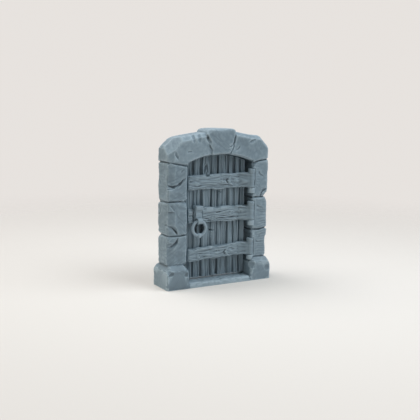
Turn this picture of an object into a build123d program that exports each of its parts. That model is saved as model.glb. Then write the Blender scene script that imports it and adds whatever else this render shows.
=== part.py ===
from build123d import *

import os
from math import asin, cos, radians, sin, sqrt

# A miniature door for tabletop scenery, moulded in plastic. A plank leaf hangs on three pintle hinges in a
# carved stone frame and opens towards the front, and a ring pull hangs from a strap on its middle ledge.
# +X is the viewer's right, -Y the front and +Z up. The origin lies on the table under the middle of the frame.

# Stone frame: threshold, plinths, jambs, arch and hinge lugs are one moulding
jamb_span = 45.0  # across the outer faces of both jambs
jamb_depth = 8.4
doorway_left = 14.0  # from the middle to the latch reveal
doorway_right = 15.2  # from the middle to the hinge reveal
first_course = 11.6  # heights of the jamb stones, from the plinth up
second_course = 12.8
third_course = 15.3
spring_fall = 1.5  # the joint under the arch falls this much from the outer face to the reveal
joint_bevel = 0.55  # every stone's edges are knocked back by this much
chip_bite = 1.0  # depth of a full chip struck off a corner
crack_width = 1.1
crack_depth = 0.9  # where a crack is deepest

# Plinths and threshold
plinth_height = 9.0
plinth_overhang = 1.0  # past the jambs' outer faces
plinth_step = 2.1  # past the jambs' front and back
plinth_bevel = 1.7
hinge_plinth_reach = 1.25  # the plinth under the hinges stands this far into the doorway
threshold_height = 2.1
threshold_bevel = 0.6

# Stop: a rib round the doorway, which the leaf closes against
stop_lap = 0.65  # behind the leaf's edges
stop_gap = 0.3  # between the closed leaf and the rib
stop_thickness = 1.6

# Arch
reveal_head = 0.7  # height of the arch stones' reveals, up to the curve
head_rise = 3.2  # of the doorway's curved head
shoulder_rise = 5.5  # height of the arch's upright sides
haunch_inset = 4.2  # width of the slanted shoulder
haunch_rise = 3.8  # height of the slanted shoulder
crown_rise = 1.6  # from the haunch to where the side stones meet the keystone
left_haunch_bevel = 1.9  # the left shoulder is dressed back further than the right one
right_haunch_bevel = 0.6
back_haunch_bevel = 0.4
crown_bevel = 1.1  # along the upper edges of both arch stones
keystone_top_width = 13.4
keystone_foot_width = 8.8
keystone_shift = 0.5  # from the frame's middle towards the hinges
keystone_rise = 1.4  # above the side arch stones
keystone_proud = 0.4  # in front of and behind the side arch stones
keystone_taper = 1.3  # each top corner of the keystone leans in by this much

# Leaf: planks, ledges and hinge barrels are one moulding
leaf_setback = 3.2  # from the jambs' front to the planks
plank_thickness = 2.6
leaf_bottom_gap = 0.5
arch_gap = 0.4
swing_clearance = 0.25  # between the swinging leaf and the latch reveal
plank_groove_width = 0.9
plank_groove_depth = 1.0
back_groove_depth = 0.6
grain_width = 0.45
grain_depth = 0.3
ledge_thickness = 1.5
ledge_height = 5.8
low_ledge_height = 4.9
ledge_bevel = 0.35
ledge_end_gap = 0.6  # from the leaf's latch edge to the ledges' ends
ledge_notch_radius = 0.9

# Hinges: each pin is pressed up through its lug into the blind hole of a barrel
hinge_inset = 0.3  # from the hinge reveal to the axis
barrel_radius = 1.4
barrel_gap = 0.12  # between a barrel and the notch that it turns in
barrel_rise = 1.7  # above the ledge's top edge
hinge_stand = 2.6  # from the planks' front to the hinge axis
knuckle_run = 5.0  # length of the slope from a ledge's face up to its barrel
leaf_side_gap = 0.4  # between the planks and the plinth under the hinges
lug_height = 2.0
lug_gap = 0.15  # between a barrel and the lug under it
pin_radius = 0.55
pin_reach = 1.9  # into the barrel
pin_end_gap = 0.25
pin_running_clearance = 0.06
pin_seat_clearance = 0.01

# Ring pull: a closed ring, held down on the middle ledge by a strap that is glued over it
ring_place = 8.6  # from the frame's middle, towards the latch
ring_radius = 2.85
ring_wire_radius = 0.64
ring_wire_sides = 10
ring_bead_radius = 1.1
ring_drop = 1.75  # from the middle ledge's centre line down to the ring's pivot
ring_stand = 1.1  # from the ledge's front to the ring's pivot
ring_clearance = 0.22  # round the ring's wire
strap_width = 3.2
strap_thickness = 1.0
strap_rise = 1.2  # above the middle ledge's top edge
strap_bevel = 0.3
cap_thickness = 0.6  # of the strap's thicker head, in front of the strap
cap_height = 1.7
loop_width = 2.0  # of the strap's narrow end, which loops round the ring
loop_wall = 0.45

# Places along the leaf's width, from the latch edge, and up its height
plank_joint_shares = (0.123, 0.262, 0.420, 0.529, 0.705, 0.809, 0.909)
grain_shares = (0.055, 0.190, 0.330, 0.380, 0.475, 0.590, 0.650, 0.760, 0.860, 0.960)
ledge_height_shares = (0.2025, 0.5143, 0.7856)
ledge_grain_shares = (-0.24, 0.06, 0.27)
ledge_tilts = (2.0, 0.0, 0.0)  # degrees
ledge_notch_share = 0.31  # along the top ledge, from the latch

# Chips: direction of the blow, and its share of chip_bite, for each stone from the plinth up
# A long flat down the outer front edge of the left stones
left_arris_shares = (-0.33, -1.0, 0.0, 0.77)
left_chip_shares = (
    ((-0.9, -1.0, 1.0, 0.8), (1.0, -0.9, 1.1, 0.7), (-1.0, 0.9, 0.8, 0.6)),
    (left_arris_shares, (-0.8, -1.0, 1.1, 0.6), (0.5, -1.0, -0.8, 0.6), (-0.6, 1.0, 0.8, 0.6)),
    (left_arris_shares, (0.3, -1.0, 0.9, 0.8), (-1.0, 0.3, -0.8, 0.5), (0.8, 1.0, -0.5, 0.6)),
    (left_arris_shares, (-0.8, -0.7, 0.8, 0.5), (0.7, -0.8, -0.6, 0.4), (-1.0, 0.8, -0.3, 0.6)),
)
right_chip_shares = (
    ((-0.9, -1.0, 0.3, 1.0), (1.0, -0.8, 0.8, 0.8), (1.0, 1.0, 0.9, 0.7)),
    ((1.0, -0.6, 0.0, 0.4), (-0.6, -0.9, 0.8, 0.5), (1.0, -0.4, -0.7, 0.6), (0.8, 1.0, 0.5, 0.5)),
    ((1.0, -0.7, 0.1, 0.4), (0.9, -0.5, 0.7, 0.5), (-0.5, 1.0, 0.7, 0.7), (-0.4, -1.0, -0.9, 0.5)),
    ((1.0, -0.6, -0.8, 0.9), (-0.7, -0.9, 0.6, 0.6), (0.9, 0.8, 0.6, 0.5)),
)
keystone_chip_shares = ((-0.8, -1.0, 0.9, 0.5), (0.7, -0.8, -0.5, 0.4), (0.6, 1.0, 0.9, 0.6))

# Cracks: side, stone from the plinth up, centre and radius as shares of the stone's width and height,
# then the angle where the crack is deepest and the angle to each side at which it runs out
crack_shares = (
    (-1, 3, (-0.45, 0.37), 0.52, 270.0, 88.0),
    (-1, 2, (-1.05, -1.00), 0.49, 60.0, 75.0),
    (-1, 1, (-1.05, 1.05), 0.55, 300.0, 65.0),
    (1, 3, (1.00, -1.03), 0.45, 125.0, 70.0),
)

overrun = 1.0  # cuts run this far past the faces that they open

# Derived places
jamb_face = jamb_span / 2
wall_face = jamb_depth / 2
plinth_face = wall_face + plinth_step
plinth_side = jamb_face + plinth_overhang
first_bed = plinth_height + first_course
second_bed = first_bed + second_course
spring_outer = second_bed + third_course
spring_inner = spring_outer - spring_fall
spring_height = spring_inner + reveal_head
crown_height = spring_height + head_rise
shoulder_height = spring_outer + shoulder_rise
haunch_height = shoulder_height + haunch_rise
extrados_height = haunch_height + crown_rise
doorway_middle = (doorway_right - doorway_left) / 2
half_doorway = (doorway_right + doorway_left) / 2
head_radius = (half_doorway**2 + head_rise**2) / (2 * head_rise)
head_centre = crown_height - head_radius
hinge_plinth = doorway_right - hinge_plinth_reach

plank_front = -wall_face + leaf_setback
plank_back = plank_front + plank_thickness
ledge_front = plank_front - ledge_thickness
hinge_x = doorway_right - hinge_inset
hinge_y = plank_front - hinge_stand
notch_reach = barrel_radius + barrel_gap
leaf_right = hinge_plinth - leaf_side_gap
swing_radius = hinge_x + doorway_left - swing_clearance
leaf_left = hinge_x - sqrt(swing_radius**2 - (plank_back - hinge_y) ** 2)
leaf_width = leaf_right - leaf_left
leaf_bottom = threshold_height + leaf_bottom_gap
leaf_height = crown_height - arch_gap - leaf_bottom
ledge_heights = (low_ledge_height, ledge_height, ledge_height)
ledge_middles = tuple(leaf_bottom + share * leaf_height for share in ledge_height_shares)
ledge_left = leaf_left + ledge_end_gap
ledge_length = hinge_x - ledge_left
barrel_feet = tuple(
    middle + sin(radians(tilt)) * ledge_length / 2 - height / 2
    for middle, height, tilt in zip(ledge_middles, ledge_heights, ledge_tilts)
)
barrel_heights = tuple(height + barrel_rise for height in ledge_heights)
ring_x = -ring_place
ring_y = ledge_front - ring_stand
ring_z = ledge_middles[1] - ring_drop


def head_height(x, inset=0.0):
    """Height of the doorway's curved head at x, or of a curve parallel to it and lower by inset."""
    return head_centre + sqrt((head_radius - inset) ** 2 - (x - doorway_middle) ** 2)


def struck(block, chips):
    """Strikes flat chips off a block, each at right angles to its blow and as deep as its share of chip_bite."""
    for x, y, z, share in chips:
        blow = Vector(x, y, z).normalized()
        tip = max((Vector(*vertex) for vertex in block.vertices()), key=blow.dot)
        size = block.bounding_box().diagonal
        lost = Plane(origin=tip - blow * (share * chip_bite), z_dir=blow) * Pos(0, 0, size / 2) * Box(size, size, size)
        block = block - lost
    return block


def slab(outline, front, back):
    """A closed outline in X and Z, carried from y = front to y = back."""
    face = Plane.XZ.offset(-front) * make_face(outline)
    return extrude(face, amount=front - back)


def bevelled_slab(outline, front, back, bevel):
    """A slab with all its edges bevelled."""
    block = slab(outline, front, back)
    return chamfer(block.edges(), bevel)


def crack(centre_x, centre_z, radius, deepest, reach):
    """A V-shaped groove along an arc in a front face: its ring is tipped into the stone on its deepest side."""
    angle = radians(deepest)
    lean = asin(crack_depth / (radius * (1 - cos(radians(reach)))))
    outward = Vector(cos(angle), 0, sin(angle))
    depthward = Vector(0, 1, 0)
    spoke = outward * cos(lean) + depthward * sin(lean)
    spindle = outward * sin(lean) - depthward * cos(lean)
    lift = radius * sin(lean) * cos(radians(reach))
    centre = Vector(centre_x, -wall_face - lift, centre_z)
    section = Plane(origin=centre, x_dir=spoke, z_dir=spoke.cross(spindle))
    height = crack_depth + overrun
    half = crack_width / 2 * height / crack_depth
    mouth = Polyline((radius, 0), (radius + half, height), (radius - half, height), close=True)
    return revolve(section * make_face(mouth), axis=Axis(centre, spindle))


def stone_frame():
    """The whole stone surround: threshold, plinths, jambs, arch and the hinge lugs."""
    frame = threshold()
    for side in (-1, 1):
        frame += plinth(side)
        for course in (1, 2, 3):
            frame += jamb_stone(side, course)
        frame += arch_stone(side)
    frame += keystone()
    frame += door_stop()
    for foot, height in zip(barrel_feet, barrel_heights):
        frame -= hinge_notch(foot, height)
        frame += lug(foot)
    for foot in barrel_feet[1:]:
        frame -= pin_hole(foot - lug_gap - lug_height, foot, pin_seat_clearance)
    return frame - pin_hole(0, barrel_feet[0], pin_seat_clearance)


def threshold():
    """The worn step between the plinths, which the leaf swings over."""
    reach = doorway_left + plinth_bevel
    step = Pos(0, 0, threshold_height / 2) * Box(2 * reach, 2 * plinth_face, threshold_height)
    rims = step.edges().filter_by(Axis.X).group_by(Axis.Z)[-1]
    return chamfer(rims, threshold_bevel)


def plinth(side):
    """A squat block under a jamb, bevelled at the top and dressed at its corners."""
    inner = doorway_left if side < 0 else hinge_plinth
    width = plinth_side - inner
    middle = side * (inner + plinth_side) / 2
    block = Pos(middle, 0, plinth_height / 2) * Box(width, 2 * plinth_face, plinth_height)
    block = chamfer(block.edges().group_by(Axis.Z)[-1], plinth_bevel)
    block = chamfer(block.edges().filter_by(Axis.Z), joint_bevel)
    return struck(block, (left_chip_shares if side < 0 else right_chip_shares)[0])


def jamb_outline(side, course):
    """Corner points of one jamb stone, from the reveal's foot round to the reveal's head."""
    inner = doorway_left if side < 0 else doorway_right
    foot = (plinth_height, first_bed, second_bed)[course - 1]
    head_out, head_in = ((first_bed, first_bed), (second_bed, second_bed), (spring_outer, spring_inner))[course - 1]
    return (side * inner, foot), (side * jamb_face, foot), (side * jamb_face, head_out), (side * inner, head_in)


def jamb_stone(side, course):
    """One stone of a jamb, with its chips and cracks."""
    corners = jamb_outline(side, course)
    block = bevelled_slab(Polyline(*corners, close=True), -wall_face, wall_face, joint_bevel)
    block = struck(block, (left_chip_shares if side < 0 else right_chip_shares)[course])
    (inner, foot), (outer, _), (_, head), _ = corners
    width = abs(outer - inner)
    for crack_side, crack_course, (share_x, share_z), radius_share, deepest, reach in crack_shares:
        if (crack_side, crack_course) == (side, course):
            centre_x = (inner + outer) / 2 + share_x * width / 2
            centre_z = (foot + head) / 2 + share_z * (head - foot) / 2
            block -= crack(centre_x, centre_z, radius_share * width, deepest, reach)
    return block


def arch_stone(side):
    """A side stone of the arch, from the jamb to the keystone."""
    inner = doorway_left if side < 0 else doorway_right
    reveal = side * inner
    key_top = keystone_shift + side * keystone_top_width / 2
    key_foot = keystone_shift + side * keystone_foot_width / 2
    half_way = (reveal + key_foot) / 2
    outline = Polyline(
        (key_foot, head_height(key_foot)),
        (key_top, extrados_height),
        (side * (jamb_face - haunch_inset), haunch_height),
        (side * jamb_face, shoulder_height),
        (side * jamb_face, spring_outer),
        (reveal, spring_inner),
        (reveal, spring_height),
    )
    head = ThreePointArc(
        (reveal, spring_height), (half_way, head_height(half_way)), (key_foot, head_height(key_foot))
    )
    block = slab(outline + head, -wall_face, wall_face)
    block = chamfer([edge for edge in block.edges() if abs(edge.center().X) > inner + joint_bevel], joint_bevel)
    block = chamfer(block.edges().filter_by(GeomType.CIRCLE), joint_bevel)
    front_share = (left_haunch_bevel if side < 0 else right_haunch_bevel) / chip_bite
    back_share = back_haunch_bevel / chip_bite
    crown_share = crown_bevel / chip_bite
    for face, haunch_share in ((-1.0, front_share), (1.0, back_share)):
        blows = ((side, face, 1.0, haunch_share), (side * 0.15, face, 1.0, crown_share))
        block = struck(block, blows)
    return struck(block, (left_arris_shares,)) if side < 0 else block


def keystone():
    """The wedge at the crown, which stands proud of its neighbours on three sides."""
    half_top, half_foot = keystone_top_width / 2, keystone_foot_width / 2
    left_foot, right_foot = keystone_shift - half_foot, keystone_shift + half_foot
    face = wall_face + keystone_proud
    outline = Polyline(
        (right_foot, head_height(right_foot)),
        (keystone_shift + half_top, extrados_height),
        (keystone_shift + half_top - keystone_taper, extrados_height + keystone_rise),
        (keystone_shift - half_top + keystone_taper, extrados_height + keystone_rise),
        (keystone_shift - half_top, extrados_height),
        (left_foot, head_height(left_foot)),
    )
    foot = ThreePointArc(
        (left_foot, head_height(left_foot)),
        (keystone_shift, head_height(keystone_shift)),
        (right_foot, head_height(right_foot)),
    )
    block = bevelled_slab(outline + foot, -face, face, joint_bevel)
    return struck(block, keystone_chip_shares)


def door_stop():
    """A rib behind the leaf, let into the stones on both sides and over the head."""
    root = 2 * joint_bevel
    front = plank_back + stop_gap
    back = front + stop_thickness
    rib = slab(arched_outline(-doorway_left - root, doorway_right + root, 0, -root), front, back)
    passage = arched_outline(leaf_left + stop_lap, leaf_right - stop_lap, -overrun, arch_gap + stop_lap)
    return rib - slab(passage, front - overrun, back + overrun)


def hinge_notch(barrel_foot, barrel_height):
    """The cut in the jamb's front corner that one barrel and its lug stand in, down to the plinth's top at most."""
    low = max(barrel_foot - lug_gap - lug_height, plinth_height)
    high = barrel_foot + barrel_height + barrel_gap
    left, right = hinge_x - notch_reach, hinge_x + notch_reach
    front, back = -wall_face - overrun, hinge_y + notch_reach
    return Pos((left + right) / 2, (front + back) / 2, (low + high) / 2) * Box(right - left, back - front, high - low)


def lug(barrel_foot):
    """A pintle lug that carries one barrel: a round boss with a web into the notch's side."""
    middle = barrel_foot - lug_gap - lug_height / 2
    boss = Pos(hinge_x, hinge_y, middle) * Cylinder(barrel_radius, lug_height)
    reach = notch_reach + joint_bevel
    front, back = -wall_face + joint_bevel, hinge_y + barrel_radius
    web = Pos(hinge_x + reach / 2, (front + back) / 2, middle) * Box(reach, back - front, lug_height)
    return boss + web


def pin_hole(low, high, clearance):
    """A round hole on the hinge axis."""
    depth = high - low
    return Pos(hinge_x, hinge_y, low + depth / 2) * Cylinder(pin_radius + clearance, depth)


def hinge_pin(barrel_foot):
    """A straight pin that is pressed into its lug and reaches up into a barrel."""
    low = barrel_foot - lug_gap - lug_height
    length = lug_height + lug_gap + pin_reach
    return Pos(hinge_x, hinge_y, low + length / 2) * Cylinder(pin_radius, length)


def door_leaf():
    """The leaf: grooved planks under three ledges, with a hinge barrel at each ledge's end."""
    leaf = planks()
    for middle, height, tilt in zip(ledge_middles, ledge_heights, ledge_tilts):
        leaf += ledge(middle, height, tilt)
    for foot, height in zip(barrel_feet, barrel_heights):
        leaf += Pos(hinge_x, hinge_y, foot + height / 2) * Cylinder(barrel_radius, height)
        leaf += knuckle(foot, height - barrel_rise)
    notch_x = ledge_left + ledge_notch_share * ledge_length
    notch_z = ledge_middles[2] + ledge_height / 2
    notch = Plane.XZ.offset(-ledge_front) * Pos(notch_x, notch_z) * Circle(ledge_notch_radius)
    leaf -= extrude(notch, amount=-ledge_thickness)
    for foot in barrel_feet:
        leaf -= pin_hole(foot, foot + pin_reach + pin_end_gap, pin_running_clearance)
    return leaf


def knuckle(foot, height):
    """The thick end of a ledge, which slopes up from the ledge's face to the front of its barrel."""
    root = hinge_x - knuckle_run
    plan = Polyline(
        (root, ledge_front),
        (hinge_x, hinge_y - barrel_radius),
        (hinge_x, plank_front),
        (root, plank_front),
        close=True,
    )
    block = extrude(Plane.XY.offset(foot) * make_face(plan), amount=height)
    slope = block.faces().filter_by(Axis.Z, reverse=True).sort_by(Axis.Y)[0]
    return chamfer(slope.edges().filter_by(Axis.Z, reverse=True), ledge_bevel)


def arched_outline(left, right, foot, inset):
    """Two upright sides from a level foot up to a curve that is parallel to the doorway's head and lower by inset."""
    left_head, right_head = head_height(left, inset), head_height(right, inset)
    middle = (left + right) / 2
    sides = Polyline((left, left_head), (left, foot), (right, foot), (right, right_head))
    return sides + ThreePointArc((right, right_head), (middle, head_height(middle, inset)), (left, left_head))


def planks():
    """The arched board wall, with a groove at each plank joint and finer grooves for the grain."""
    wall = slab(arched_outline(leaf_left, leaf_right, leaf_bottom, arch_gap), plank_front, plank_back)
    for share in plank_joint_shares:
        wall -= groove(share, plank_front, 1, plank_groove_width, plank_groove_depth)
        wall -= groove(share, plank_back, -1, plank_groove_width, back_groove_depth)
    for share in grain_shares:
        wall -= groove(share, plank_front, 1, grain_width, grain_depth)
    return wall


def groove(share, face_y, inward, width, depth):
    """A V-shaped groove up the whole height of the planks."""
    x = leaf_left + share * leaf_width
    section = Polyline(
        (x - width / 2, face_y),
        (x - width / 2, face_y - inward * overrun),
        (x + width / 2, face_y - inward * overrun),
        (x + width / 2, face_y),
        (x, face_y + inward * depth),
        close=True,
    )
    foot = leaf_bottom - overrun
    return extrude(Plane.XY.offset(foot) * make_face(section), amount=leaf_height + 2 * overrun)


def ledge(middle, height, tilt):
    """A cross board over the planks, with a few lines of grain along its face."""
    back = plank_front + plank_groove_depth
    centre_x = ledge_left + ledge_length / 2
    board = Box(ledge_length, back - ledge_front, height)
    board = chamfer(board.edges().group_by(Axis.Y)[0] + board.edges().group_by(Axis.X)[0], ledge_bevel)
    for share in ledge_grain_shares:
        z = share * height
        front = (ledge_front - back) / 2
        section = Polyline(
            (front - overrun, z - grain_width / 2),
            (front - overrun, z + grain_width / 2),
            (front, z + grain_width / 2),
            (front + grain_depth, z),
            (front, z - grain_width / 2),
            close=True,
        )
        line = extrude(Plane.YZ * make_face(section), amount=ledge_length / 2 + overrun, both=True)
        board -= line
    return Pos(centre_x, (ledge_front + back) / 2, middle) * Rot(0, -tilt, 0) * board


def handle_strap():
    """The strap on the middle ledge: it laps over the ledge's top edge, and its narrow end loops round the ring."""
    bore = ring_wire_radius + ring_clearance
    rim = bore + loop_wall
    ledge_top = ledge_middles[1] + ledge_height / 2
    head = ledge_top + strap_rise
    foot = ring_z + bore
    front = ledge_front - strap_thickness
    strap = Pos(ring_x, (front + ledge_front) / 2, (head + foot) / 2) * Box(strap_width, strap_thickness, head - foot)
    strap = chamfer(strap.edges().group_by(Axis.Y)[0], strap_bevel)
    cap_middle = Pos(ring_x, front + (strap_thickness - cap_thickness) / 2, head - cap_height / 2)
    cap = Box(strap_width, strap_thickness + cap_thickness, cap_height)
    strap += cap_middle * chamfer(cap.edges().group_by(Axis.Y)[0], strap_bevel)
    strap += Pos(ring_x, (ledge_front + plank_front) / 2, ledge_top + strap_rise / 2) * Box(
        strap_width, ledge_thickness, strap_rise
    )
    strap += loop(rim, loop_width)
    return strap - loop(bore, strap_width)


def loop(radius, width):
    """A bar along X with a half-round front, centred on the ring's pivot and ending flat on the ledge."""
    side = Plane(origin=(ring_x, ring_y, ring_z), x_dir=(0, 1, 0), z_dir=(1, 0, 0))
    flat = Polyline((0, radius), (ring_stand, radius), (ring_stand, -radius), (0, -radius))
    nose = ThreePointArc((0, -radius), (-radius, 0), (0, radius))
    return extrude(side * make_face(flat + nose), amount=width / 2, both=True)


def pull_ring():
    """The ring, with a bead at its foot."""
    centre = Pos(ring_x, ring_y, ring_z - ring_radius)
    wire = Plane.XY * Pos(ring_radius, 0) * RegularPolygon(ring_wire_radius, ring_wire_sides)
    hoop = centre * revolve(wire, axis=Axis.Y)
    bead = Pos(ring_x, ring_y, ring_z - 2 * ring_radius) * Rot(0, 90, 0) * Sphere(ring_bead_radius)
    return hoop + bead


nodes = {
    "stone_frame": stone_frame(),
    "door_leaf": door_leaf(),
    "handle_strap": handle_strap(),
    "pull_ring": pull_ring(),
}
for name, foot in zip(("bottom", "middle", "top"), barrel_feet):
    nodes[f"hinge_pin_{name}"] = hinge_pin(foot)

os.makedirs("parts", exist_ok=True)
for name, shape in nodes.items():
    export_step(shape, f"parts/{name}.step")
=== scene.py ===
import math

import bpy
import numpy as np
from mathutils import Matrix, Vector


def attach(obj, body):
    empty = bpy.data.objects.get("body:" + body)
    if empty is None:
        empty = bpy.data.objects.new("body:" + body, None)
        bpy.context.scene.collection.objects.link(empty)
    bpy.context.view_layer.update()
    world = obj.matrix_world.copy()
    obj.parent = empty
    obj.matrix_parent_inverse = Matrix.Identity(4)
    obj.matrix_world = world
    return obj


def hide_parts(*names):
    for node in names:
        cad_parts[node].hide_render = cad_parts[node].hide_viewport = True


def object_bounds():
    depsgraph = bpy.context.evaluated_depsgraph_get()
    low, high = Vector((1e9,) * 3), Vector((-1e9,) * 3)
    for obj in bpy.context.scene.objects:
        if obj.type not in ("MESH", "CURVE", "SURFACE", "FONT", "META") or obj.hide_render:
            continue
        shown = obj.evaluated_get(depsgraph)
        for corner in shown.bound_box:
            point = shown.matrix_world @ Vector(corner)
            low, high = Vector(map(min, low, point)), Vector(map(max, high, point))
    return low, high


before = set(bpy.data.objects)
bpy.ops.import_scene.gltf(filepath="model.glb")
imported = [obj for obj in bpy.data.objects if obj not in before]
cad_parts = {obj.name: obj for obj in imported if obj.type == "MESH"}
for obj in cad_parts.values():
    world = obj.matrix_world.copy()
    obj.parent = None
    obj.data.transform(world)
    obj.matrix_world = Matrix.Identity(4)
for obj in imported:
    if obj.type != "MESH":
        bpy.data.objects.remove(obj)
cad_box = [list(corner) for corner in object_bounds()]
bpy.ops.object.select_all(action="DESELECT")
mm = 0.001


# Stone frame: threshold, plinths, jambs, arch and keystone in one moulding of matte blue-grey plastic.
# The sculptor roughed out the blocks, wore their arrises round, dressed the faces in flats and cut cracks,
# and the mould copies all of it, down to faint lines from the master.
def carving_blank(node, name, voxel, smoothing):
    """A copy of a CAD node, merged, remeshed to an even fine grid and rubbed down a little."""
    blank = bpy.data.objects.new(name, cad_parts[node].data.copy())
    bpy.context.scene.collection.objects.link(blank)
    blank.data.materials.clear()
    bpy.context.view_layer.objects.active = blank
    blank.select_set(True)
    bpy.ops.object.mode_set(mode="EDIT")
    bpy.ops.mesh.select_all(action="SELECT")
    bpy.ops.mesh.remove_doubles(threshold=0.002 * mm)
    bpy.ops.object.mode_set(mode="OBJECT")
    remesh = blank.modifiers.new("even_grid", "REMESH")
    remesh.mode = "VOXEL"
    remesh.voxel_size = voxel
    bpy.ops.object.modifier_apply(modifier=remesh.name)
    rub = blank.modifiers.new("rubbed_down", "SMOOTH")
    rub.factor = 0.5
    rub.iterations = smoothing
    bpy.ops.object.modifier_apply(modifier=rub.name)
    return blank


def surface(piece):
    """Points in millimetres and unit normals of a piece's mesh."""
    points = np.empty(len(piece.data.vertices) * 3)
    normals = np.empty_like(points)
    piece.data.vertices.foreach_get("co", points)
    piece.data.vertices.foreach_get("normal", normals)
    return points.reshape(-1, 3) / mm, normals.reshape(-1, 3)


def press(piece, points):
    """Moves a piece's points to new places, in millimetres, kept inside the box of the CAD model."""
    low, high = (np.array(corner) / mm for corner in cad_box)
    piece.data.vertices.foreach_set("co", (np.clip(points, low, high) * mm).ravel())
    piece.data.update()


def limited(value):
    """A value kept from 0 to 1."""
    return np.clip(value, 0, 1)


def scatter(*steps, seed=0.0):
    """A fixed number from -1 to 1 for each set of whole steps."""
    key = sum(step * factor for step, factor in zip(steps, (127.1, 311.7, 74.7))) + seed * 19.19
    return 2 * np.modf(np.abs(np.sin(key) * 43758.5453))[0] - 1


def grain_noise(places, sizes, seed):
    """Smooth noise from -1 to 1 over two or three places, with one bump to each size along them."""
    scaled = [np.asarray(place, float) / size for place, size in zip((*places, 0)[:3], (*sizes, 1)[:3])]
    scaled = np.broadcast_arrays(*scaled)
    cell = [np.floor(axis) for axis in scaled]
    part = [axis - low for axis, low in zip(scaled, cell)]
    ease = [t * t * (3 - 2 * t) for t in part]
    total = np.zeros_like(scaled[0])
    for i in (0, 1):
        for j in (0, 1):
            for k in (0, 1):
                share = [t if step else 1 - t for t, step in zip(ease, (i, j, k))]
                height = scatter(cell[0] + i, cell[1] + j, cell[2] + k, seed=seed)
                total += height * share[0] * share[1] * share[2]
    return total


def furrows(noise, sharpness):
    """Height from 0 to 1 of narrow lines where noise passes through zero."""
    return limited(1 - np.abs(noise) * sharpness)


def hewn_flats(across, up, size, seed):
    """Height from -1 to 1 of a face that is dressed in slanting flats of about this size."""
    a = (across + 0.35 * up) / size + 0.25 * grain_noise((across, up), (size, size), seed)
    b = (up - 0.20 * across) / size
    i, j = np.floor(a), np.floor(b)
    f, g = a - i, b - j
    low, high = scatter(i, j, seed=seed), scatter(i + 1, j + 1, seed=seed)
    right, left = scatter(i + 1, j, seed=seed), scatter(i, j + 1, seed=seed)
    near = low + f * (right - low) + g * (left - low)
    far = high + (1 - f) * (left - high) + (1 - g) * (right - high)
    return np.where(f + g < 1, near, far)


def cut_line(across, up, route, left_width, right_width, depth):
    """Depth of a crack along a route, as wide as given to its left and right, thinning at its ends."""
    route = np.array(route, float)
    runs = np.hypot(*np.diff(route, axis=0).T)
    starts = np.concatenate(([0], np.cumsum(runs)))
    near = np.full(across.shape, np.inf)
    place = np.zeros(across.shape)
    side = np.zeros(across.shape)
    for (ax, az), (bx, bz), run, start in zip(route[:-1], route[1:], runs, starts):
        t = limited(((across - ax) * (bx - ax) + (up - az) * (bz - az)) / run**2)
        gap = np.hypot(across - ax - t * (bx - ax), up - az - t * (bz - az))
        closer = gap < near
        near = np.where(closer, gap, near)
        place = np.where(closer, (start + t * run) / starts[-1], place)
        side = np.where(closer, (bx - ax) * (up - az) - (bz - az) * (across - ax), side)
    taper = np.clip(4 * np.minimum(place, 1 - place), 0.25, 1)
    return depth * taper * limited(1 - near / (np.where(side > 0, left_width, right_width) * taper))


def relief_of(piece, rounds):
    """How far each point stands out of the surface around it, in millimetres."""
    points, normals = surface(piece)
    ends = np.empty(len(piece.data.edges) * 2, dtype=np.int32)
    piece.data.edges.foreach_get("vertices", ends)
    a, b = ends.reshape(-1, 2).T
    count = np.bincount(a, minlength=len(points)) + np.bincount(b, minlength=len(points))
    level = points.copy()
    for _ in range(rounds):
        total = np.stack(
            [
                np.bincount(a, level[b, axis], len(points)) + np.bincount(b, level[a, axis], len(points))
                for axis in range(3)
            ],
            axis=1,
        )
        level = total / np.maximum(count, 1)[:, None]
    return ((points - level) * normals).sum(axis=1)


def arris_of(piece):
    """From 0 on a piece's flat faces to 1 on its sharp edges."""
    sharp = 0.10
    return limited(relief_of(piece, rounds=10) / sharp)


def marked_relief(piece):
    """The relief that is marked on a piece's points."""
    relief = np.empty(len(piece.data.vertices), np.float32)
    piece.data.attributes["relief"].data.foreach_get("value", relief)
    return relief


def mark_relief(piece, relief):
    """Marks a relief on a piece's points, for its colour's painted shade in hollows and painted highlights on
    edges.
    """
    piece.data.attributes["relief"].data.foreach_set("value", relief.astype(np.float32))


def finish_carving(piece, most, rounds, body, nodes):
    """Thins a carved piece, shades it smooth, marks its relief for the colour's painted shade and highlights
    and gives it its place.
    """
    bpy.context.view_layer.objects.active = piece
    count = sum(len(face.vertices) - 2 for face in piece.data.polygons)
    if count > most:
        thin = piece.modifiers.new("thinned", "DECIMATE")
        thin.ratio = most / count
        bpy.ops.object.modifier_apply(modifier=thin.name)
    bpy.ops.object.shade_smooth()
    piece.data.attributes.new("relief", "FLOAT", "POINT")
    mark_relief(piece, relief_of(piece, rounds))
    piece.select_set(False)
    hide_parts(*nodes)
    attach(piece, body)


stone_frame = carving_blank("stone_frame", "stone_frame_carved", voxel=0.18 * mm, smoothing=1)
points, normals = surface(stone_frame)
x, y, z = points.T
arris = arris_of(stone_frame)

# Joints in millimetres: beds over the plinths and between the jambs' stones, the joint under the arch,
# which rises outwards, and the two leaning sides of the keystone.
beds = (9.0, 20.6, 33.4)
reveal, jamb_width = 14.6, 7.9
spring_inner, spring_rise = 47.2, 1.5
key_left_foot, key_right_foot, key_foot_height, key_lean = -3.9, 4.9, 50.8, 0.26
key_bottom = 50
spring_joint = spring_inner + spring_rise * limited((np.abs(x) - reveal) / jamb_width)
in_arch, in_plinth = z > spring_joint, z < beds[0]
key_left = key_left_foot - key_lean * (z - key_foot_height)
key_right = key_right_foot + key_lean * (z - key_foot_height)
on_key = (z > key_bottom) & (x > key_left) & (x < key_right)
stone = 3 * (np.digitize(z, beds) + in_arch) + np.where(on_key, 2, np.where(x < 0, 0, 1))

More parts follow.
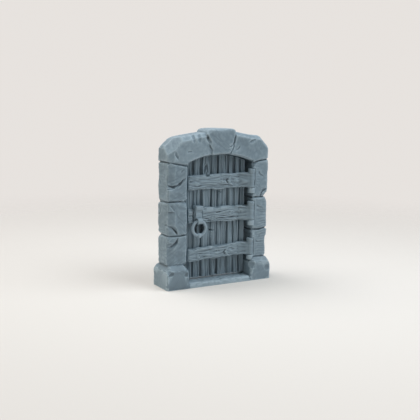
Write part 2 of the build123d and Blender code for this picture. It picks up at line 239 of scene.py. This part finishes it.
# Broad and small flats, fine grain, scratches and worn arrises. Arch and plinths are smoother than the jambs.
broad_flat, broad_depth = 5.4, 0.26
small_flat, small_depth = 2.3, 0.10
arch_dressing, jamb_dressing, plinth_dressing = 0.40, 0.85, 0.10
left_arch_scratch, arch_scratch, jamb_scratch, plinth_scratch = 0.02, 0.06, 0.09, 0.02
arch_wear, jamb_wear = 0.3, 0.8
shares = normals**4 / (normals**4).sum(axis=1, keepdims=True)
dressing = np.zeros(len(x))
for axis, (across, up) in enumerate(((y, z), (x, z), (x, y))):
    face = 7 * stone + 2 * axis + np.sign(normals[:, axis])
    broad = broad_depth * hewn_flats(across, up, broad_flat, face)
    small = small_depth * hewn_flats(across, up, small_flat, face + 40)
    dressing += shares[:, axis] * (broad + small)
widest_stroke = 1.6
stroke = widest_stroke * scatter(stone, seed=38)
along = x * np.cos(stroke) + z * np.sin(stroke) + y
across = z * np.cos(stroke) - x * np.sin(stroke)
scratches = furrows(grain_noise((along, across, y), (3.4, 0.9, 4.0), seed=39), sharpness=2.6)
scratches *= limited(grain_noise((along, across), (6, 3), seed=40) + 0.45)
dressing *= np.where(in_arch, arch_dressing, np.where(in_plinth, plinth_dressing, jamb_dressing))
turned = (x + 0.6 * y + 0.3 * z, y - 0.6 * x + 0.5 * z, z - 0.4 * x - 0.6 * y)
dressing += 0.035 * grain_noise(turned, (1.0, 1.0, 0.9), seed=2)
arch_scratches = np.where(x < -5.0, left_arch_scratch, arch_scratch)
dressing -= np.where(in_arch, arch_scratches, np.where(in_plinth, plinth_scratch, jamb_scratch)) * scratches
chisel_wave = np.sin(6.0 * z + 2.4 * grain_noise((x, z), (3, 3), seed=3))
chisel_lines = 0.06 * chisel_wave * limited(grain_noise((x, z), (4, 5), seed=33) + 0.3)
hinge_jamb_front = (normals[:, 1] < -0.6) & (x > 15.5) & (z > 9.5) & (z < 48)
dressing += np.where(hinge_jamb_front, chisel_lines, 0)
worn = 0.55 * limited(grain_noise((x, y, z), (1.7, 1.7, 1.9), seed=4) - 0.05)
worn += 0.22 * limited(grain_noise((x, y, z), (0.8, 0.8, 0.8), seed=5))
carved = dressing - worn * arris * np.where(in_arch, arch_wear, jamb_wear)

# The joints are cut deeper, and those between the jambs' stones wander.
bed_depth, bed_width, bed_wander = 0.34, 0.32, 0.35
spring_depth, spring_width = 0.30, 0.30
for bed in beds[1:]:
    wave = bed_wander * grain_noise((x, y, bed), (2.6, 2.6, 1), seed=6)
    carved -= bed_depth * limited(1 - np.abs(z - bed - wave) / bed_width)
carved -= spring_depth * limited(1 - np.abs(z - spring_joint) / spring_width) * (np.abs(x) > 14.4)

# Each crack has a route, its width to the left and right of the route, and its depth.
# Routes run in x and z on the front, and in -y and z on the left side.
front, left_side = normals[:, 1] < -0.3, normals[:, 0] < -0.4
front_cracks = (
    (((-22.4, 24.7), (-21.2, 24.2), (-19.9, 23.3), (-18.9, 22.4), (-18.1, 21.2)), 0.35, 1.0, 0.55),
    (((-22.4, 16.4), (-21.2, 16.3), (-19.9, 16.9), (-18.9, 18.0), (-18.2, 19.6)), 0.40, 1.0, 0.50),
    (((-18.6, 39.6), (-17.2, 40.7), (-16.0, 42.0), (-14.6, 43.0)), 0.35, 0.9, 0.35),
    (((-21.6, 32.4), (-20.4, 31.0), (-19.4, 29.7)), 0.8, 0.4, 0.30),
    (((19.0, 33.3), (20.0, 34.8), (21.0, 35.6), (22.4, 36.8)), 0.30, 0.55, 0.30),
    (((-5.9, 58.8), (-5.4, 57.4), (-4.6, 56.2), (-4.3, 54.8)), 0.75, 0.75, 0.65),
    (((-4.8, 55.6), (-4.8, 54.2), (-4.0, 53.0), (-3.7, 51.6)), 0.35, 0.35, 0.25),
    (((-22.4, 40.4), (-21.4, 39.7), (-20.2, 39.4), (-18.8, 39.6)), 0.25, 0.9, 0.45),
    (((7.3, 59.2), (6.9, 57.2), (6.5, 55.4), (5.4, 54.4), (3.2, 53.7)), 0.40, 0.65, 0.55),
    (((6.4, 55.2), (5.9, 53.6), (5.2, 52.0)), 0.28, 0.35, 0.40),
    (((8.9, 54.2), (8.0, 53.0), (6.6, 52.4)), 0.35, 0.35, 0.30),
    (((13.0, 55.4), (14.8, 56.3), (16.8, 56.9)), 0.4, 1.0, 0.35),
    (((-14.8, 52.5), (-13.6, 52.8), (-12.4, 52.6)), 0.3, 0.5, 0.25),
    (((-19.6, 52.9), (-19.3, 51.3), (-18.0, 49.6)), 0.9, 0.3, 0.35),
    (((-17.4, 44.6), (-16.6, 45.6), (-15.4, 46.2)), 0.3, 0.6, 0.20),
    (((17.6, 44.4), (18.6, 42.8), (20.6, 41.8)), 0.3, 0.8, 0.25),
    (((17.0, 30.6), (18.4, 29.4), (20.4, 29.0)), 0.3, 0.7, 0.22),
    (((16.6, 16.4), (18.2, 15.2), (20.8, 15.4)), 0.3, 0.7, 0.22),
)
side_cracks = (
    (((4.4, 24.6), (2.6, 24.9), (1.0, 24.6)), 0.7, 0.4, 0.3),
    (((-4.4, 28.0), (-2.0, 29.0), (0.0, 33.0)), 0.5, 0.5, 0.3),
    (((-4.4, 42.6), (-2.6, 41.2), (-1.8, 39.6)), 0.6, 0.5, 0.3),
)
for faces, across, cracks in ((front, x, front_cracks), (left_side, -y, side_cracks)):
    for route, left_width, right_width, depth in cracks:
        crack = cut_line(across, z, route, left_width, right_width, depth)
        carved -= np.where(faces, crack, 0)

# Chips are shallow scoops with a ragged rim: place in x and z, reach across and up, and depth.
chips = (
    (-22.0, 6.3, 1.3, 1.3, 0.40), (-15.2, 5.6, 1.2, 1.2, 0.30), (15.0, 5.8, 1.2, 1.2, 0.25),
    (21.8, 4.6, 1.3, 1.3, 0.25), (-17.2, 26.8, 2.4, 2.4, 0.18), (-18.0, 12.4, 2.6, 2.6, 0.12),
    (18.6, 27.0, 2.2, 2.2, 0.14), (19.4, 42.0, 2.6, 2.6, 0.14), (-11.4, 57.8, 0.8, 1.8, 0.35),
    (-9.0, 57.6, 0.9, 2.0, 0.35), (-18.6, 35.6, 2.4, 1.6, 0.16), (-16.4, 31.4, 1.6, 1.2, 0.25),
)
ragged = 1 + 0.45 * grain_noise((x, z), (1.3, 1.3), seed=41)
for chip_x, chip_z, reach_x, reach_z, depth in chips:
    gap = (((x - chip_x) / reach_x) ** 2 + ((z - chip_z) / reach_z) ** 2) * ragged
    carved -= np.where(front, depth * limited(1 - gap), 0)

# The threshold is trodden down all over, and more in its dips.
tread, dip_depth, pit_depth = 0.14, 0.5, 0.12
on_step = (np.abs(x) < 13.8) & (z < 2.6)
dips = grain_noise((x + 0.4 * y, z, y - 0.4 * x), (2.2, 1.4, 2.4), seed=7)
pits = grain_noise((x, z, y), (0.9, 0.8, 1.1), seed=34)
step_wear = tread + dip_depth * limited(dips) ** 2 + pit_depth * pits
carved = np.where(on_step, 0.4 * carved - step_wear * limited(z - 0.5), carved)

# The blocks bulge slightly out of true. The hinge notches and the foot stay as they are,
# and the faces round the doorway are only cut back, so that the leaf stays clear.
sway = np.stack(
    [
        0.24 * grain_noise((y, z, x), (5, 3.8, 30), seed=8),
        0.14 * grain_noise((x, z, y), (5, 4.2, 8), seed=9),
        0.26 * grain_noise((x, y, z), (3.6, 5, 7), seed=10),
    ],
    axis=1,
) * limited(z / 3 - 0.3)[:, None]
notch_x, notch_half_width = 15.05, 1.75
notch_y, notch_half_depth = -3.5, 1.8
notch_heights = ((13.0, 4.4), (27.0, 5.4), (40.1, 5.4))  # middle and half height
notch_blend, foot = 0.8, 0.3
beyond_x, beyond_y = np.abs(x - notch_x) - notch_half_width, np.abs(y - notch_y) - notch_half_depth
beyond_z = np.minimum.reduce([np.abs(z - middle) - half for middle, half in notch_heights])
notch_gap = np.maximum.reduce([beyond_x, beyond_y, beyond_z])
free = np.where(z < foot, 0, limited(notch_gap / notch_blend))
moved = points + free[:, None] * (sway + normals * carved[:, None])
doorway = (x > -15.2) & (x < 16.9) & (z < 52.5)
stop_front = 1.9
for axis, faces, keep in (
    (0, (normals[:, 0] > 0.2) & (x < 0), np.minimum),
    (0, (normals[:, 0] < -0.2) & (x > 0), np.maximum),
    (2, (normals[:, 2] < -0.2) & (z > 40), np.maximum),
    (2, (normals[:, 2] > 0.2) & (z < 3), np.minimum),
    (1, np.abs(y - stop_front) < 0.5, np.maximum),
):
    kept = keep(moved[:, axis], points[:, axis])
    moved[:, axis] = np.where(doorway & faces, kept, moved[:, axis])
press(stone_frame, moved)
finish_carving(
    stone_frame, most=196000, rounds=8, body="frame", nodes=["stone_frame"]
)

# The colour follows the relief, with painted shade in hollows and painted highlights on edges. The arch's and
# plinths' edges get more painted highlight, and some faces carry painted shade or light.
points, normals = surface(stone_frame)
x, y, z = points.T
relief = marked_relief(stone_frame)
jamb_edge, plinth_front_start = 13.6, -5.4
front, left, right = normals[:, 1] < -0.6, x < -jamb_edge, x > jamb_edge
painted_highlight_bands = ((z > 49.0) & (z < 59.2)) | ((z > 0.6) & (z < 8.8))
notch_wall = (x > 15.9) & (x < 16.9) & (y < -1.9) & (y > -4.1) & (z > 9.2) & (z < 46.0)
hinge_reveal = (normals[:, 0] < -0.4) & (x > 12.5) & (x < 15.8) & (z > 9.2) & (y > -3.9)
# Painted highlight on the raised edges of the arch and the plinths.
relief += 0.8 * np.where(painted_highlight_bands, limited(relief - 0.018), 0)
# Painted shade on the left plinth's front, a band round the top of the left plinth, the right plinth and the
# left jamb's fronts, more on the lower stones; painted light on the arch's left front.
relief -= 0.11 * limited((plinth_front_start - y) / 0.6) * limited(8.0 - z) * left
relief -= 0.04 * ((z > 7.2) & (z < 9.4) & left)
relief -= 0.02 * ((z < 8.6) & right)
relief += 0.03 * (front & (z > 49.0) & (x < -5.0))
relief -= np.where(z < beds[1], 0.03, 0.018) * (front & (z > 9.4) & (z < 47.0) & left)
# Painted light on the threshold's front.
relief += 0.06 * ((z < 2.6) & (np.abs(x) < jamb_edge) & (y < -2.0))
# Painted light on the walls of the hinge notches, against the shade in the gap beside the barrels.
relief += 0.08 * notch_wall
# Painted shade on the hinge-side reveal of the doorway.
relief -= 0.14 * hinge_reveal
mark_relief(stone_frame, relief)


def moulded_plastic(name, colour, hollow_shade_colour, edge_highlight_colour):
    """Matte plastic with painted shade in its hollows and painted highlights on its edges, with a fine tooth
    and layer lines.
    """
    finish = bpy.data.materials.new(name)
    finish.use_nodes = True
    nodes, links = finish.node_tree.nodes, finish.node_tree.links
    shader = nodes["Principled BSDF"]
    shader.inputs["Specular IOR Level"].default_value = 0.40
    place = nodes.new("ShaderNodeTexCoord")
    relief = nodes.new("ShaderNodeAttribute")
    relief.attribute_name = "relief"

    # Painted shade and painted highlight: low relief takes the dark hollow colour, high relief the pale edge
    # colour.
    depth = nodes.new("ShaderNodeMapRange")
    depth.inputs["From Min"].default_value = -0.22
    depth.inputs["From Max"].default_value = 0.13
    links.new(relief.outputs["Fac"], depth.inputs["Value"])
    tone = nodes.new("ShaderNodeValToRGB")
    tone.color_ramp.elements[0].color = (*hollow_shade_colour, 1)
    tone.color_ramp.elements[1].color = (*edge_highlight_colour, 1)
    body_tone = tone.color_ramp.elements.new(0.60)
    body_tone.color = (*colour, 1)
    links.new(depth.outputs["Result"], tone.inputs["Fac"])

    cloud = nodes.new("ShaderNodeTexNoise")
    cloud.inputs["Scale"].default_value = 160
    cloud.inputs["Detail"].default_value = 5
    links.new(place.outputs["Object"], cloud.inputs["Vector"])
    mottle = nodes.new("ShaderNodeMapRange")
    mottle.inputs["To Min"].default_value = 0.9
    mottle.inputs["To Max"].default_value = 1.1
    links.new(cloud.outputs["Fac"], mottle.inputs["Value"])
    shade = nodes.new("ShaderNodeMix")
    shade.data_type = "RGBA"
    shade.blend_type = "MULTIPLY"
    shade.inputs["Factor"].default_value = 1
    links.new(tone.outputs["Color"], shade.inputs["A"])
    links.new(mottle.outputs["Result"], shade.inputs["B"])
    links.new(shade.outputs["Result"], shader.inputs["Base Color"])

    rough = nodes.new("ShaderNodeMapRange")
    rough.inputs["To Min"].default_value = 0.46
    rough.inputs["To Max"].default_value = 0.62
    links.new(cloud.outputs["Fac"], rough.inputs["Value"])
    links.new(rough.outputs["Result"], shader.inputs["Roughness"])

    layers = nodes.new("ShaderNodeTexWave")
    layers.bands_direction = "Z"
    layers.inputs["Scale"].default_value = 2100
    layers.inputs["Distortion"].default_value = 0.6
    links.new(place.outputs["Object"], layers.inputs["Vector"])
    tooth = nodes.new("ShaderNodeTexNoise")
    tooth.inputs["Scale"].default_value = 2600
    tooth.inputs["Detail"].default_value = 3
    links.new(place.outputs["Object"], tooth.inputs["Vector"])
    layer_bump = nodes.new("ShaderNodeBump")
    layer_bump.inputs["Strength"].default_value = 0.25
    layer_bump.inputs["Distance"].default_value = 0.02 * mm
    links.new(layers.outputs["Fac"], layer_bump.inputs["Height"])
    tooth_bump = nodes.new("ShaderNodeBump")
    tooth_bump.inputs["Strength"].default_value = 0.35
    tooth_bump.inputs["Distance"].default_value = 0.03 * mm
    links.new(tooth.outputs["Fac"], tooth_bump.inputs["Height"])
    links.new(layer_bump.outputs["Normal"], tooth_bump.inputs["Normal"])
    links.new(tooth_bump.outputs["Normal"], shader.inputs["Normal"])
    return finish


stone_plastic = moulded_plastic(
    "stone_plastic",
    colour=(0.205, 0.274, 0.326),
    hollow_shade_colour=(0.090, 0.121, 0.145),
    edge_highlight_colour=(0.355, 0.445, 0.505),
)
stone_frame.data.materials.append(stone_plastic)


# Door leaf: planks, three ledges and the hinge barrels, moulded in one piece of the same plastic.
# The planks have deep gaps and upright grain; the ledges' grain runs along them and round their knots.
door_leaf = carving_blank("door_leaf", "door_leaf_carved", voxel=0.15 * mm, smoothing=3)
points, normals = surface(door_leaf)
x, y, z = points.T
arris = arris_of(door_leaf)
barrel_edge, barrel_limit, ledge_limit = 13.3, -3.4, -1.12
barrel = x > barrel_edge
hinge_end = limited((x - 12.4) / 1.4)
facing = np.abs(normals[:, 1])
side = np.sign(y)
ledges = ((12.34, 2.0, 2.45), (27.34, 0.0, 2.9), (40.39, 0.0, 2.9))  # height, tilt in degrees, half height
ledge_middle, ledge_margin, rim_width = 1.11, 0.4, 0.9
on_ledge = np.zeros(len(x), bool)
rise = np.zeros(len(x))
rim = np.zeros(len(x))
for ledge_z, tilt, half_height in ledges:
    height = z - ledge_z - (x - ledge_middle) * math.tan(math.radians(tilt))
    here = (np.abs(height) < half_height + ledge_margin) & (y < np.where(barrel, barrel_limit, ledge_limit))
    on_ledge |= here
    rise = np.where(here, height, rise)
    rim = np.where(here, limited((np.abs(height) - half_height + rim_width) / rim_width), rim)

# The ledges' grain flows round knots, each with a place in x and z and a radius.
knots = (
    (2.3, 40.7, 1.2), (5.8, 40.5, 1.1), (8.9, 40.4, 1.2), (-9.5, 39.8, 1.0), (6.0, 27.6, 1.0),
    (-1.8, 26.4, 0.8), (10.6, 28.2, 0.9), (6.6, 12.2, 1.3), (-8.4, 11.4, 1.1), (0.4, 12.4, 0.8),
)
knot_height = 0.26
knot_grain = 1 + 0.8 * grain_noise((x, z), (0.7, 0.6), seed=35)
flow = rise.copy()
lumps = np.zeros(len(x))
for knot_x, knot_z, knot_radius in knots:
    core = knot_radius**2
    reach = ((x - knot_x) / 2.0) ** 2 + (z - knot_z) ** 2
    bend = (z - knot_z) * core / np.maximum(reach, 0.5 * core)
    flow -= bend * np.exp(-reach / (6 * core))
    spread = np.hypot((x - knot_x) / 1.4, z - knot_z) / knot_radius
    lumps += knot_height * np.exp(-((spread / 0.8) ** 2)) * knot_grain
flow += 0.20 * grain_noise((x, z), (4.5, 2.0), seed=11)
middle_ledge, middle_line_depth, line_depth = 27.3, 0.32, 0.22
ledge_lines = furrows(grain_noise((x, flow), (11, 0.80), seed=12), sharpness=2.4)
ledge_fine = grain_noise((x, flow), (3.0, 0.42), seed=13)
ledge_carving = lumps - np.where(np.abs(z - middle_ledge) < 4, middle_line_depth, line_depth) * ledge_lines
ledge_carving = ledge_carving + 0.10 * ledge_fine + 0.20 * grain_noise((x, z), (3.0, 1.6), seed=14)

# Single curls and splits on the ledges have a route in x and z, a width and a height.
# A groove rings the strap.
ledge_marks = (
    (((6.4, 42.6), (5.6, 41.9), (4.8, 40.6), (5.7, 39.4), (7.6, 38.6)), 0.55, 0.34),
    (((5.2, 41.6), (4.0, 40.6), (4.9, 39.4)), 0.60, -0.30),
    (((6.2, 14.1), (5.3, 13.5), (4.1, 12.1), (5.3, 10.6), (6.6, 10.0)), 0.55, 0.34),
    (((4.6, 13.2), (3.3, 12.0), (4.4, 10.8)), 0.70, -0.20),
    (((-0.8, 28.2), (0.6, 28.3), (2.0, 28.4)), 0.36, -0.55),
    (((-4.4, 25.2), (-3.1, 25.2), (-2.2, 25.4)), 0.36, -0.50),
)
for route, width, height in ledge_marks:
    ledge_carving += cut_line(x, z, route, width, width, height)
strap_x, strap_z, strap_half_width, strap_half_height = -8.6, 28.2, 1.6, 3.4
groove_middle, groove_half_width, groove_depth = 0.25, 0.45, 0.50
strap_gap = np.maximum(np.abs(x - strap_x) - strap_half_width, np.abs(z - strap_z) - strap_half_height)
ledge_carving -= groove_depth * limited(1 - np.abs(strap_gap - groove_middle) / groove_half_width)

# Each plank stands and leans a little differently, with rounded edges, grain lines and deep checks.
plank_edges = np.array((-13.27, -9.98, -6.25, -2.01, 0.92, 5.64, 8.43, 11.11, 13.55))
plank_step, plank_round, plank_lean = 0.14, 0.22, 0.14
plank = np.clip(np.digitize(x, plank_edges) - 1, 0, len(plank_edges) - 2)
offset = 2 * (x - plank_edges[plank]) / np.diff(plank_edges)[plank] - 1
board = plank_step * scatter(plank, side, seed=36) - plank_round * offset**6
board = board + plank_lean * offset * scatter(plank, side, seed=37)
upright = x + 0.20 * grain_noise((z, x, side), (5.0, 3.0, 1), seed=15)
plank_lines = furrows(grain_noise((upright, z, side), (0.52, 18, 1), seed=16), sharpness=1.7)
plank_fine = grain_noise((upright, z, side), (0.36, 8, 1), seed=17)
plank_checks = limited(grain_noise((upright, z, side), (0.55, 7, 1), seed=18) - 0.42)
plank_carving = board - 0.40 * plank_lines + 0.20 * plank_fine - 0.55 * plank_checks
plank_carving = plank_carving + 0.10 * grain_noise((x, z, side), (1.6, 4, 1), seed=19)

worn = 0.55 * limited(grain_noise((x, y, z), (1.3, 1.3, 1.1), seed=20) + 0.10) * arris
ledge_face = ledge_carving * limited(facing * 1.5) - worn
plank_face = plank_carving * limited(facing * 1.3)
carved = np.where(on_ledge, ledge_face, plank_face)
edge_lines = furrows(grain_noise((y, z), (0.6, 12), seed=42), sharpness=2.2)
carved -= np.where(on_ledge | (np.abs(normals[:, 0]) < 0.6), 0, 0.22 * edge_lines)
worn_barrel = 0.03 * grain_noise((x, y, z), (0.9, 0.9, 1.1), seed=21) + 0.06 - 0.5 * worn
worn_barrel -= np.where(on_ledge, 0.30 * ledge_lines * facing, 0)
carved += hinge_end * (worn_barrel - carved)

# The planks' front has a few splits, with routes, widths and depths as on the stone, and a finger hollow.
plank_splits = (
    (((-4.9, 43.4), (-4.8, 45.0), (-4.4, 46.4), (-4.1, 47.6)), 0.5, 0.5, 0.9),
    (((-3.5, 43.0), (-3.6, 45.0), (-3.9, 46.6), (-4.1, 47.6)), 0.4, 0.4, 0.8),
    (((-2.7, 21.3), (-1.5, 20.9), (-0.2, 21.0)), 0.6, 0.45, 1.1),
    (((-1.6, 20.8), (-1.5, 19.4), (-1.7, 17.8)), 0.25, 0.25, 0.6),
    (((1.4, 36.2), (2.4, 35.9), (3.2, 36.1)), 0.35, 0.35, 0.5),
)
plank_front = (normals[:, 1] < -0.3) & ~on_ledge & ~barrel
for route, left_width, right_width, depth in plank_splits:
    split = cut_line(x, z, route, left_width, right_width, depth)
    carved -= np.where(plank_front, split, 0)


def finger_hollow(x, z):
    """From 0 in the middle of the finger hollow behind the ring to 1 at its rim and more outside."""
    hollow_x, hollow_z, reach_x, reach_z = -6.5, 21.6, 2.4, 2.2
    return ((x - hollow_x) / reach_x) ** 2 + ((z - hollow_z) / reach_z) ** 2


hollow_depth = 1.2
carved -= np.where(plank_front, hollow_depth * limited(1.5 - 1.5 * finger_hollow(x, z)), 0)
moved = points + normals * carved[:, None]
edge_wave = 0.32 * rim * grain_noise((x, np.sign(rise) * 3, np.floor(z / 13)), (2.6, 1, 1), seed=22)
moved[:, 2] += np.where(on_ledge & ~barrel, edge_wave, 0)
press(door_leaf, moved)
finish_carving(door_leaf, most=196000, rounds=10, body="leaf", nodes=["door_leaf"])

# Ledge colour follows relief and marks; plank colour is calmer, with grain streaks, painted shadow at top and
# bottom and painted shade in the finger hollow.
points, normals = surface(door_leaf)
x, y, z = points.T
relief = marked_relief(door_leaf)
tone_limit = -1.35
ledge_tone = 1.2 * relief + 0.015 * (np.abs(z - middle_ledge) < 3.5)
# Painted highlight on the raised curls of the ledges and painted shade in their cut splits.
for route, width, height in ledge_marks:
    ledge_tone += cut_line(x, z, route, width, width, 0.3 * height)
relief = np.where((y < tone_limit) & (normals[:, 1] < -0.4), ledge_tone, relief)
# Painted light: near the hinge barrels the hollows are kept pale.
relief = np.where(x > 13.0, np.maximum(0.4 * relief, -0.01), relief)
# Painted shadow on the planks at the top under the arch and at the bottom; painted highlight on plank crowns
# and weak painted shade in the gaps.
painted_shadow_share = limited((z - 42.5) / 2.5) + limited((10.5 - z) / 2.5)
streaks = furrows(grain_noise((x, z, np.sign(y)), (0.36, 9, 1), seed=43), sharpness=2.2)
plank_tone = np.where(relief > 0, 0.48, 0.18) * relief - 0.008 - 0.030 * painted_shadow_share - 0.045 * streaks
plank_tone -= 0.012 * (z < 9.0)
# Painted shade in the finger hollow behind the ring.
plank_tone -= 0.40 * limited(1.5 - finger_hollow(x, z)) * (y < 0.6) * (normals[:, 1] < 0.2)
mark_relief(door_leaf, np.where((y > tone_limit) & (x < 13.5), plank_tone, relief))
wood_plastic = moulded_plastic(
    "wood_plastic",
    colour=(0.211, 0.281, 0.332),
    hollow_shade_colour=(0.036, 0.050, 0.061),
    edge_highlight_colour=(0.295, 0.374, 0.428),
)
door_leaf.data.materials.append(wood_plastic)


# Handle: a strap glued over the middle ledge and a beaded ring that swings in its loop.
# Both are small mouldings of the same plastic, with their edges worn round.
# The fittings are painted paler than the frame and leaf, a painted highlight on the same plastic, with
# painted shade in hollows and painted highlights on edges.
fitting_plastic = moulded_plastic(
    "fitting_plastic",
    colour=(0.262, 0.342, 0.402),
    hollow_shade_colour=(0.07, 0.094, 0.112),
    edge_highlight_colour=(0.36, 0.445, 0.505),
)
waist_z, waist_reach, waist_depth = 28.4, 0.9, 0.30
fold_z, fold_low, fold_high, fold_depth = 28.9, 26.6, 29.6, 0.22
for node, body in (("handle_strap", "leaf"), ("pull_ring", "ring")):
    fitting = carving_blank(node, node + "_carved", voxel=0.08 * mm, smoothing=1)
    points, normals = surface(fitting)
    x, y, z = points.T
    worn = 0.05 * grain_noise((x, y, z), (0.9, 0.9, 0.9), seed=23) - 0.03
    if node == "handle_strap":
        waist = np.exp(-(((z - waist_z) / waist_reach) ** 2)) * (np.abs(normals[:, 0]) > 0.4)
        folds = limited(np.cos((z - fold_z) * 2.6)) * (normals[:, 1] < -0.5)
        folds = folds * (z > fold_low) * (z < fold_high)
        worn -= waist_depth * waist + fold_depth * folds
    press(fitting, points + normals * worn[:, None])
    finish_carving(fitting, most=60000, rounds=8, body=body, nodes=[node])
    fitting.data.materials.append(fitting_plastic)


# Hinge pins: plain rods of the same plastic, each pressed up through a lug of the frame.
# Only their lower ends show, so the CAD solids stay and take the fittings' finish.
for node in ("hinge_pin_bottom", "hinge_pin_middle", "hinge_pin_top"):
    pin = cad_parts[node]
    pin.data.materials.clear()
    pin.data.materials.append(fitting_plastic)


# Table: a plain pale sheet that fades into the pale surroundings, so no edge shows behind the model.
# It takes the model's soft shadow.
bpy.ops.mesh.primitive_circle_add(vertices=96, radius=0.6, fill_type="NGON", location=(0, 0, 0))
table_sheet = bpy.context.object
table_sheet.name = "table_sheet"
pale_sheet = bpy.data.materials.new("pale_sheet")
pale_sheet.use_nodes = True
nodes, links = pale_sheet.node_tree.nodes, pale_sheet.node_tree.links
sheet_shader = nodes["Principled BSDF"]
sheet_shader.inputs["Base Color"].default_value = (0.895, 0.835, 0.785, 1)
sheet_shader.inputs["Roughness"].default_value = 0.9
sheet_shader.inputs["Specular IOR Level"].default_value = 0.1
sheet_place = nodes.new("ShaderNodeTexCoord")
sheet_reach = nodes.new("ShaderNodeVectorMath")
sheet_reach.operation = "LENGTH"
links.new(sheet_place.outputs["Object"], sheet_reach.inputs[0])
sheet_fade = nodes.new("ShaderNodeMapRange")
sheet_fade.interpolation_type = "SMOOTHSTEP"
sheet_fade.inputs["From Min"].default_value = 0.04
sheet_fade.inputs["From Max"].default_value = 0.28
sheet_fade.inputs["To Min"].default_value = 1
sheet_fade.inputs["To Max"].default_value = 0
links.new(sheet_reach.outputs["Value"], sheet_fade.inputs["Value"])
links.new(sheet_fade.outputs["Result"], sheet_shader.inputs["Alpha"])
table_sheet.data.materials.append(pale_sheet)
table_sheet.select_set(False)


# Light: a soft box overhead, a warm one behind on the left and a cool one high in front on the right.
# The surroundings light the model dimly in white; seen directly or in a gloss, they are a pale warm white.
surroundings = bpy.data.worlds.new("pale_surroundings")
bpy.context.scene.world = surroundings
surroundings.use_nodes = True
nodes, links = surroundings.node_tree.nodes, surroundings.node_tree.links
nodes.clear()
rays = nodes.new("ShaderNodeLightPath")
seen = nodes.new("ShaderNodeMath")
seen.operation = "MAXIMUM"
links.new(rays.outputs["Is Camera Ray"], seen.inputs[0])
links.new(rays.outputs["Is Glossy Ray"], seen.inputs[1])
seen_through = nodes.new("ShaderNodeMath")
seen_through.operation = "MAXIMUM"
links.new(seen.outputs["Value"], seen_through.inputs[0])
links.new(rays.outputs["Is Transmission Ray"], seen_through.inputs[1])
pale_view = nodes.new("ShaderNodeBackground")
pale_view.inputs["Color"].default_value = (0.80, 0.765, 0.735, 1)
soft_fill = nodes.new("ShaderNodeBackground")
soft_fill.inputs["Color"].default_value = (1.0, 1.0, 0.97, 1)
soft_fill.inputs["Strength"].default_value = 0.16
mixed = nodes.new("ShaderNodeMixShader")
links.new(seen_through.outputs["Value"], mixed.inputs["Fac"])
links.new(soft_fill.outputs["Background"], mixed.inputs[1])
links.new(pale_view.outputs["Background"], mixed.inputs[2])
sky = nodes.new("ShaderNodeOutputWorld")
links.new(mixed.outputs["Shader"], sky.inputs["Surface"])

lamp_aim = Vector((0, 0, 0.03))
for name, place, size, power, colour in (
    ("overhead_soft_box", (-0.08, 0.08, 0.32), 0.24, 0.64, (0.90, 0.94, 1.0)),
    ("left_soft_box", (-0.40, 0.12, 0.34), 0.80, 0.96, (0.99, 0.98, 0.80)),
    ("front_soft_box", (0.19, -0.19, 0.30), 0.32, 1.00, (0.85, 0.94, 1.0)),
):
    lamp = bpy.data.lights.new(name, "AREA")
    lamp.size = size
    lamp.energy = power
    lamp.color = colour
    holder = bpy.data.objects.new(name, lamp)
    holder.location = place
    holder.rotation_euler = (lamp_aim - Vector(place)).to_track_quat("-Z", "Y").to_euler()
    bpy.context.scene.collection.objects.link(holder)


# Camera: low, and to the left of the door's front, tipped a little.
# Its place and lens were fitted to the photograph.
camera_turn, camera_rise, camera_tip = math.radians(-29.88), math.radians(9.23), math.radians(0.90)
camera_aim, camera_distance = Vector((-0.00178, 0, 0.02894)), 0.29122
back = Vector((
    math.sin(camera_turn) * math.cos(camera_rise),
    -math.cos(camera_turn) * math.cos(camera_rise),
    math.sin(camera_rise),
))
camera_data = bpy.data.cameras.new("photo_camera")
camera_data.sensor_width = 36
camera_data.lens = 63.35
camera_data.clip_start = 0.01
camera_data.clip_end = 10
camera = bpy.data.objects.new("photo_camera", camera_data)
camera.matrix_world = (
    Matrix.Translation(camera_aim + back * camera_distance)
    @ (-back).to_track_quat("-Z", "Y").to_matrix().to_4x4()
    @ Matrix.Rotation(camera_tip, 4, "Z")
)
bpy.context.scene.collection.objects.link(camera)
bpy.context.scene.camera = camera
bpy.context.scene.view_settings.view_transform = "Standard"
